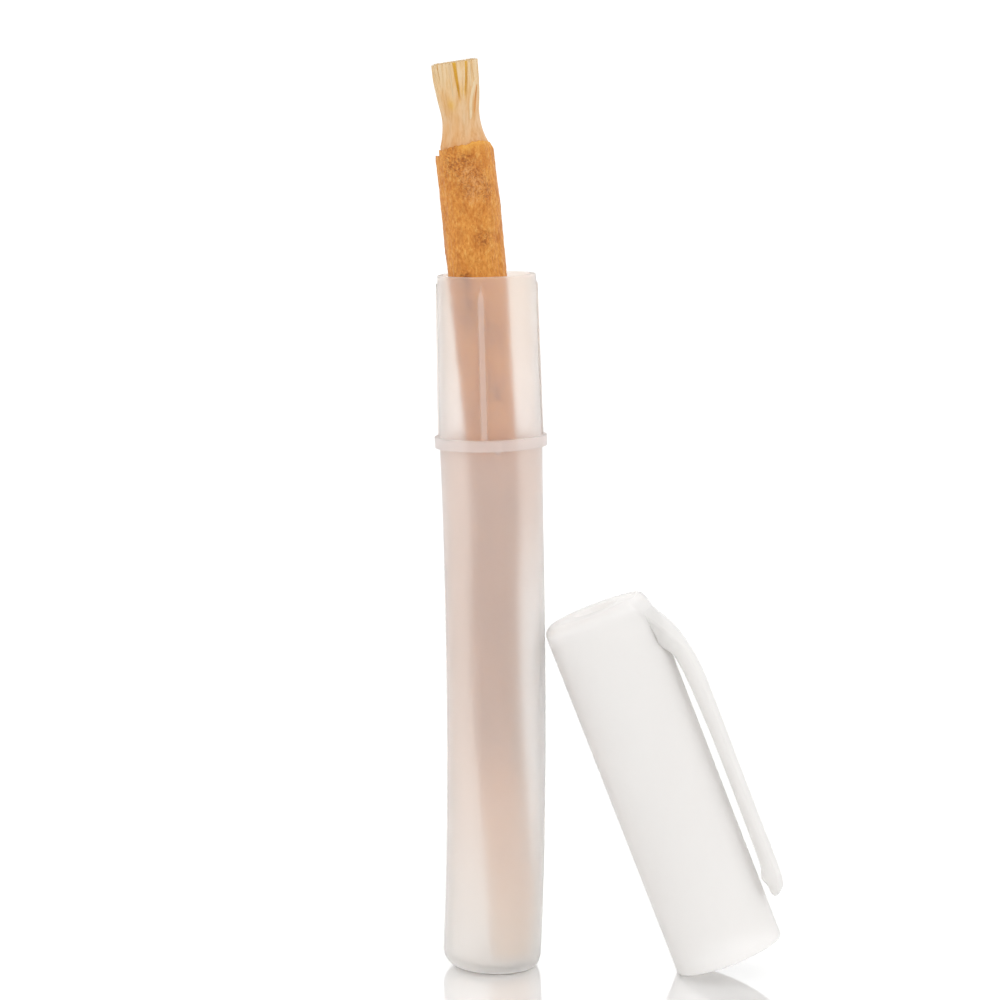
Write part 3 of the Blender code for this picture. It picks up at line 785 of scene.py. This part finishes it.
def caseOutside(s):
    # profile of the outer side, from the rim down to the middle of the underside
    lip, rim = s["rimRound"], s["rimRadius"]
    collar, top, under = s["collarRadius"], s["collarTop"], s["collarBottom"]
    high, soft = s["footHeight"], s["edgeRound"]
    body, foot = bodyRadius(under), bodyRadius(high)
    return np.concatenate([
        arcPoints((rim - lip, s["height"] - lip), (lip, lip), 90, 0, 7),
        linePoints((rim, s["height"] - lip), (s["neckLow"], top + soft), 90)[1:],
        arcPoints((s["neckLow"] + soft, top + soft), (soft, soft), 180, 270, 5)[1:],
        arcPoints((collar - soft, top - soft), (soft, soft), 90, 0, 6),
        arcPoints((collar - soft, under + s["collarSlope"] + soft), (soft, soft), 0, -50, 5),
        arcPoints((body + soft, under + 0.06), (soft, 0.2), 130, 180, 4),
        bodySide(under - 0.1, high, 100, 0),
        arcPoints((s["footRadius"], high), (foot - s["footRadius"], high), 0, -90, 26)[1:],
        linePoints((s["footRadius"], 0), (0, 0), 5)[1:],
    ])


def caseInside(s):
    # profile of the bore, from the middle of its floor up to the rim
    low = bodyRadius(s["footHeight"]) - s["wall"]
    high = bodyRadius(s["collarBottom"]) - s["wall"]
    mouth, corner = s["rimRadius"] - s["wall"], s["footHeight"] - s["floor"]
    lip = s["rimRound"]
    return np.concatenate([
        linePoints((0, s["floor"]), (low - corner, s["floor"]), 4),
        arcPoints((low - corner, s["footHeight"]), (corner, corner), -90, 0, 10)[1:],
        bodySide(s["footHeight"], s["collarBottom"], 40, s["wall"])[1:],
        linePoints((high, s["collarBottom"]), (mouth, s["height"] - lip), 20)[1:],
        arcPoints((mouth + lip, s["height"] - lip), (lip, lip), 180, 90, 7)[1:],
    ])


def ribHeight(s, radius, height, angle):
    # how far the ribs stand proud of the neck: a flat-topped ridge whose width runs out in a point
    reach = s["neckLow"]
    half = 0.5 * s["ribs"]["width"] * np.clip((s["ribs"]["top"] - height) / s["ribs"]["point"], 0, 1)
    proud = 0 * height
    for index in range(4):
        across = np.abs(apart(angle, math.radians(s["ribs"]["first"] + 90 * index))) * reach
        proud = np.maximum(proud, ease((half - across) / s["ribs"]["soft"] + 0.5) * ease(half / 0.12))
    onNeck = (height > s["collarTop"] - 0.2) & (radius < s["neckLow"] + s["ribs"]["soft"])
    return s["ribs"]["proud"] * proud * onNeck


def makeCase(s):
    outside, inside = caseOutside(s), caseInside(s)
    profile = np.concatenate([inside, outside])
    radius, turn, height = spun(profile, s["columns"])
    skin = (np.arange(len(profile)) >= len(inside))[:, None] & (radius > s["footRadius"])
    rib = skin * ribHeight(s, radius, height, turn)
    radius = radius + rib

    # the clear label is a film a few hundredths thick, and the gate a small nib below the collar
    label, gate, clear = s["label"], s["gate"], s["clear"]
    left, right = math.radians(label["left"]), math.radians(label["right"])
    across = np.minimum(apart(turn, left), apart(right, turn)) * label["radius"]
    inward = np.minimum(across, np.minimum(height - label["low"], label["high"] - height))
    film = ease(inward / label["soft"]) * (inward > 0)
    nibAcross = apart(turn, math.radians(gate["angle"])) * gate["radius"] / gate["size"]
    nibAlong = (height - gate["height"]) / gate["tall"]
    nib = np.exp(-nibAcross ** 4 - nibAlong ** 4) * (height < s["collarBottom"] + 0.5)
    radius = radius + skin * (label["thick"] * film + gate["proud"] * nib)

    # 0 on the neck, 1 on the ribs and the body, and 2 where the plastic is thickest: collar and foot
    ribs = rib > 0.6 * s["ribs"]["proud"]
    below = height < s["collarTop"] - 0.01
    collar = skin & below & ((height > s["collarBottom"] - 0.01) | (nib > 0.2))
    foot = height < 0.25 * s["footHeight"]
    thick = np.where(collar | foot, 2, ribs | below)

    # painted light: the side that is turned to the cap is lightened towards white, most of all halfway up the
    # body, where the cap's shade falls
    sideways = ease((radius * np.cos(turn) - clear["side"]) / clear["over"])
    upwards = ease((height - clear["low"]) / clear["fade"]) * ease((clear["high"] - height) / clear["fade"])
    fields = {"film": film * skin, "thick": thick, "clear": sideways * upwards}
    return surfaceFrom("frostedCase", bend(roundAxis(radius, turn, height)), fields)


frostSet = {
    "neck": {
        "transmission": 0.86,
        "rough": 0.5,
        "tints": [(0.78, (1.0, 0.957, 0.93)), (0.88, (1.0, 0.947, 0.905)), (0.98, (0.985, 0.925, 0.87))],
    },
    "body": {
        "transmission": 0.7,
        "rough": 0.66,
        # partly painted light: the body is warmer and darker halfway up, for the stick's colour glowing
        # through the frost, and whiter at the foot
        "tints": [
            (0.0, (0.985, 0.968, 0.948)), (0.12, (0.985, 0.946, 0.914)), (0.3, (0.97, 0.895, 0.845)),
            (0.5, (0.935, 0.843, 0.787)), (0.75, (0.935, 0.842, 0.788)), (0.775, (0.965, 0.905, 0.875)),
        ],
    },
    "thick": {
        "transmission": 0.5,
        "rough": 0.66,
        "tints": [(0.0, (1.0, 0.99, 0.975)), (0.1, (1.0, 0.98, 0.965)), (0.7, (0.855, 0.78, 0.75))],
    },
    # the near white that is painted as light on the side turned to the cap
    "clear": (1.0, 0.99, 0.98),
    "ior": 1.15,
    "reach": 116.0,  # the height at which a tint's place is 1
}


def caseFinish(part):
    settings = frostSet[part]
    rough = settings["rough"]
    finish, tree, shader = newFinish(part + "Plastic", {
        "Roughness": rough, "IOR": frostSet["ior"], "Transmission Weight": settings["transmission"],
        "Sheen Weight": 0.6, "Sheen Roughness": 0.5,
    })
    # the tints by height are partly painted light, for the stick glowing through the frost
    tint = addRamp(tree, heightRise(tree, 0, frostSet["reach"]), settings["tints"])
    cloud = addNoise(tree, stretched(tree, 5.0), 9.0, 3.0)
    haze = addRamp(tree, cloud, [(0.3, (0.975,) * 3), (0.7, (1, 1, 1))])
    tint = addMix(tree, 1.0, tint, haze, "MULTIPLY")
    # painted light: towards near white on the side turned to the cap
    tint = addMix(tree, fieldOf(tree, "clear"), tint, frostSet["clear"])
    tree.links.new(tint, shader.inputs["Base Color"])
    frost = addNoise(tree, stretched(tree, 1.0), 0.22, 3.0, 0.6)
    addBump(tree, shader, frost, 0.01, 0.3)
    smoother = addRange(tree, fieldOf(tree, "film"), target=(rough, rough - 0.05))
    tree.links.new(smoother, shader.inputs["Roughness"])
    return finish


def frostCase(piece):
    # the neck is polished where the cap slides on it. The body is hazier, and the thick parts are milky
    dress(piece, caseFinish("neck"), "case_tube", 45)
    for part in ("body", "thick"):
        piece.data.materials.append(caseFinish(part))
    partByField(piece, "thick")


frostCase(makeCase(caseSet))
print("case made")


# the cap: a milky turned shell with a dished end, cut back along the shoulder of its clip

capSet = {
    "length": 61.8,
    "mouthRadius": 9.16,
    "endRadius": 9.24,
    "wall": 0.62,
    "endWall": 2.2,
    "endRound": 1.8,
    "boreRound": 2.5,
    "mouthRound": 0.25,
    "dishRadius": 3.6,
    "dishFloor": 2.9,
    "dishDepth": 0.8,
    "dishInset": 0.3,
    "dishCorner": 0.35,
    "dishLip": 0.42,
    "boreLip": 0.15,
    "lean": 21.44,
    "swing": 7.37,
    "mouthMiddle": (38.379, -5.026, 3.274),
    "shoulder": [(61.4, 7.0), (54.6, 10.5)],  # height on the cap, distance from its axis
    "shoulderSoft": 0.5,
    "columns": 240,
}


def standCap(points):
    # leans the upright cap towards the case, swings it a little forward and stands it on its edge
    x, z = turnPair(points[..., 0], points[..., 2], math.radians(capSet["lean"]))
    x, y = turnPair(x, points[..., 1], -math.radians(capSet["swing"]))
    return np.stack([x, y, z], axis=-1) + capSet["mouthMiddle"]


def underShoulder(points, s, turn):
    # pushes points that lie above the shoulder's plane back onto it, with a soft edge
    (high, near), (low, far) = s["shoulder"]
    slant = np.array([high - low, 0, far - near])
    slant /= np.linalg.norm(slant)
    turned = np.array([slant[0] * math.cos(turn), slant[0] * math.sin(turn), slant[2]])
    on = np.array([near * math.cos(turn), near * math.sin(turn), high])
    above = (points - on) @ turned
    push = np.where(above > -s["shoulderSoft"], (above + s["shoulderSoft"]) ** 2 / (4 * s["shoulderSoft"]), 0)
    push = np.where(above > s["shoulderSoft"], above, push)
    return points - push[..., None] * turned


clipSet = {
    "angle": -7.0,
    "width": 4.5,
    "rootWidth": 7.2,
    "rootStart": 50.5,
    "rootEnd": 56.0,
    "edge": 0.55,
    "tipStart": 7.2,
    "tipOver": 1.6,
    "tipWidth": 0.62,
    "blendAbove": 1.5,  # this far above rootEnd the clip begins to take the cap's colour
    "blendOver": 3.0,
    "outer": [  # height on the cap, distance from its axis, from the shoulder to the tip
        (60.6, 7.3), (58.2, 8.7), (56.4, 9.85), (54.4, 10.95), (52.0, 11.95), (50.2, 12.42), (48.2, 12.75),
        (45.0, 12.95), (38.0, 12.98), (30.0, 12.9), (20.0, 12.87), (15.5, 12.9), (13.2, 12.88), (12.2, 12.88),
        (11.3, 12.86), (10.4, 12.83), (9.6, 12.79), (8.8, 12.7), (8.1, 12.54), (7.55, 12.25), (7.25, 11.9),
        (7.15, 11.5),
    ],
    "inner": [
        (60.2, 7.1), (57.4, 8.25), (54.6, 8.75), (53.0, 8.8), (52.0, 9.15), (50.7, 9.95), (48.4, 10.4),
        (45.0, 10.72), (38.0, 11.0), (30.0, 11.1), (20.0, 11.0), (15.0, 10.97), (12.7, 10.88), (11.8, 10.55),
        (11.0, 10.3), (10.3, 10.35), (9.7, 10.65), (9.1, 10.85), (8.4, 10.8), (7.8, 10.85), (7.35, 11.0),
        (7.15, 11.25),
    ],
    "stations": 170,
    "aroundCount": 40,
}


def capProfile(s):
    end, mouth, wall = s["length"], s["mouthRadius"], s["wall"]
    soft, lip, corner, small = s["endRound"], s["mouthRound"], s["boreRound"], s["boreLip"]
    floor, inset, dip = end - s["dishDepth"], s["dishInset"], s["dishCorner"]
    deep, inside = floor - s["endWall"], s["endRadius"] - wall
    outside = np.concatenate([
        linePoints((0, floor), (s["dishFloor"] - inset, floor), 6),
        arcPoints((s["dishFloor"] - inset, floor + dip), (dip, dip), -90, -45, 4)[1:],
        arcPoints((s["dishRadius"] + inset, end - inset), (s["dishLip"], inset), 135, 90, 6),
        arcPoints((s["endRadius"] - soft, end - soft), (soft, soft), 90, 0, 18),
        linePoints((s["endRadius"], end - soft), (mouth, lip), 90)[1:],
        arcPoints((mouth - lip, lip), (lip, lip), 0, -90, 5)[1:],
    ])
    bore = np.concatenate([
        arcPoints((mouth - wall + small, small), (small, small), 270, 180, 4),
        linePoints((mouth - wall, small), (inside, deep - corner), 60)[1:],
        arcPoints((inside - corner, deep - corner), (corner, corner), 0, 90, 14)[1:],
        linePoints((inside - corner, deep), (0, deep), 5)[1:],
    ])
    return outside, bore


def makeCap(s):
    outside, bore = capProfile(s)
    profile = np.concatenate([outside, bore])
    radius, turn, height = spun(profile, s["columns"])
    grid = roundAxis(radius, turn, height)
    cut = underShoulder(grid, s, math.radians(clipSet["angle"]))
    skin = (np.arange(len(profile)) < len(outside))[:, None]
    end = skin & (height > s["length"] - 0.6 * s["endRound"])
    return surfaceFrom("milkyCap", standCap(np.where(skin[..., None], cut, grid)), {"end": end})


def makeClip(s):
    # a rounded rectangle, thick from the inner to the outer line and wide across, is carried
    # from the shoulder to the tip
    where = np.linspace(0, len(s["outer"]) - 1, s["stations"])

    def along(line):
        columns = [throughPoints(range(len(line)), column, where) for column in np.transpose(line)]
        return np.stack(columns, axis=-1)

    outer, inner = along(s["outer"]), along(s["inner"])
    thick = np.linalg.norm(outer - inner, axis=1)
    wider = ease((outer[:, 0] - s["rootStart"]) / (s["rootEnd"] - s["rootStart"]))
    tip = np.clip((outer[:, 0] - s["tipStart"]) / s["tipOver"], 0, 1)
    half = s["width"] / 2 * blendTo(1, s["rootWidth"] / s["width"], wider)
    half = half * blendTo(s["tipWidth"], 1, np.sqrt(1 - (1 - tip) ** 2))
    edge = np.minimum(s["edge"], 0.48 * thick)

    # corners of the section: quarter circles of the edge radius, in (across, through) places
    turn = np.linspace(0, 2 * np.pi, s["aroundCount"], endpoint=False) + np.pi / s["aroundCount"]
    signs = np.stack([np.sign(np.cos(turn)), np.sign(np.sin(turn))])
    quarter = (turn % (np.pi / 2)) + np.floor(turn / (np.pi / 2)) * np.pi / 2
    across = signs[0] * (half - edge)[:, None] + edge[:, None] * np.cos(quarter)
    through = signs[1] * (thick / 2 - edge)[:, None] + edge[:, None] * np.sin(quarter)
    middle, way = (outer + inner) / 2, (outer - inner) / np.maximum(thick, 1e-6)[:, None]
    up = middle[:, :1] + way[:, :1] * through
    out = middle[:, 1:] + way[:, 1:] * through
    x, y = turnPair(out, -across, math.radians(s["angle"]))
    grid = closedEnds(np.stack([x, y, up], axis=-1))
    root = ease((up - s["rootEnd"] - s["blendAbove"]) / s["blendOver"])
    root = np.concatenate([root[:1], root, root[-1:]])
    return surfaceFrom("capClip", standCap(grid), {"root": root})


milkSet = {
    "transmission": 0.42,
    "rough": 0.5,
    "ior": 1.12,
    "endTransmission": 0.45,
    "cap": [(0.3, (0.985, 0.967, 0.95)), (0.7, (0.995, 0.98, 0.964))],
    # painted shade: the clip's colours are greyer than the cap's
    "clip": [(0.3, (0.885, 0.867, 0.846)), (0.7, (0.9, 0.883, 0.864))],
}


def capFinish(part, transmission):
    rough = milkSet["rough"]
    finish, tree, shader = newFinish(part + "Plastic", {
        "Roughness": rough, "IOR": milkSet["ior"], "Transmission Weight": transmission,
        "Sheen Weight": 0.3, "Sheen Roughness": 0.5,
    })
    cloud = addNoise(tree, stretched(tree, 2.0), 12.0, 3.0)
    colour = addRamp(tree, cloud, milkSet["cap"])
    if part == "clip":
        # painted shade: greyer than the cap, whose colour it takes where it grows out of it
        colour = addMix(tree, fieldOf(tree, "root"), addRamp(tree, cloud, milkSet["clip"]), colour)
    tree.links.new(colour, shader.inputs["Base Color"])
    addBump(tree, shader, addNoise(tree, stretched(tree, 1.0), 0.3, 3.0, 0.6), 0.008, 0.3)
    uneven = addRange(tree, cloud, target=(rough - 0.05, rough + 0.05))
    tree.links.new(uneven, shader.inputs["Roughness"])
    return finish


milkyCap = dress(makeCap(capSet), capFinish("cap", milkSet["transmission"]), "cap", 45)
milkyCap.data.materials.append(capFinish("capEnd", milkSet["endTransmission"]))
partByField(milkyCap, "end")
dress(makeClip(clipSet), capFinish("clip", milkSet["transmission"]), "cap", 45)
print("cap and clip made")


# the floor, a glossy white sheet, and the soft light of a white tent

studioSet = {
    "floorSize": 6000.0,
    "floorBelow": 0.05,
    "world": 1.125,
    "softboxes": [  # place, aim, size, watts. The third one stands behind, and is faint
        ((-420, -360, 420), (0, 0, 70), 380, 0.32),
        ((460, -300, 300), (0, 0, 70), 300, 0.22),
        ((330, 420, 160), (8, 0, 20), 260, 0.08),
    ],
}


def makeFloor(s):
    size, low = s["floorSize"] * mm / 2, -s["floorBelow"] * mm
    corners = [(-size, -size, low), (size, -size, low), (size, size, low), (-size, size, low)]
    mesh = bpy.data.meshes.new("floor")
    mesh.from_pydata(corners, [], [(0, 1, 2, 3)])
    floor = putInScene("floor", mesh)
    glossy = {"Roughness": 0.04, "Metallic": 0.55, "Base Color": (0.98, 0.98, 0.98, 1)}
    mesh.materials.append(newFinish("glossyFloor", glossy)[0])


def makeLights(s):
    world = bpy.data.worlds.new("tent")
    world.use_nodes = True
    world.node_tree.nodes["Background"].inputs["Color"].default_value = (1, 1, 1, 1)
    world.node_tree.nodes["Background"].inputs["Strength"].default_value = s["world"]
    bpy.context.scene.world = world
    for index, (place, aim, size, watts) in enumerate(s["softboxes"]):
        light = bpy.data.lights.new(f"softbox{index + 1}", "AREA")
        light.size = size * mm
        light.energy = watts
        standAt(putInScene(light.name, light), place, aim)


makeFloor(studioSet)
makeLights(studioSet)
bpy.context.scene.view_settings.view_transform = "Standard"
print("floor and lights made")
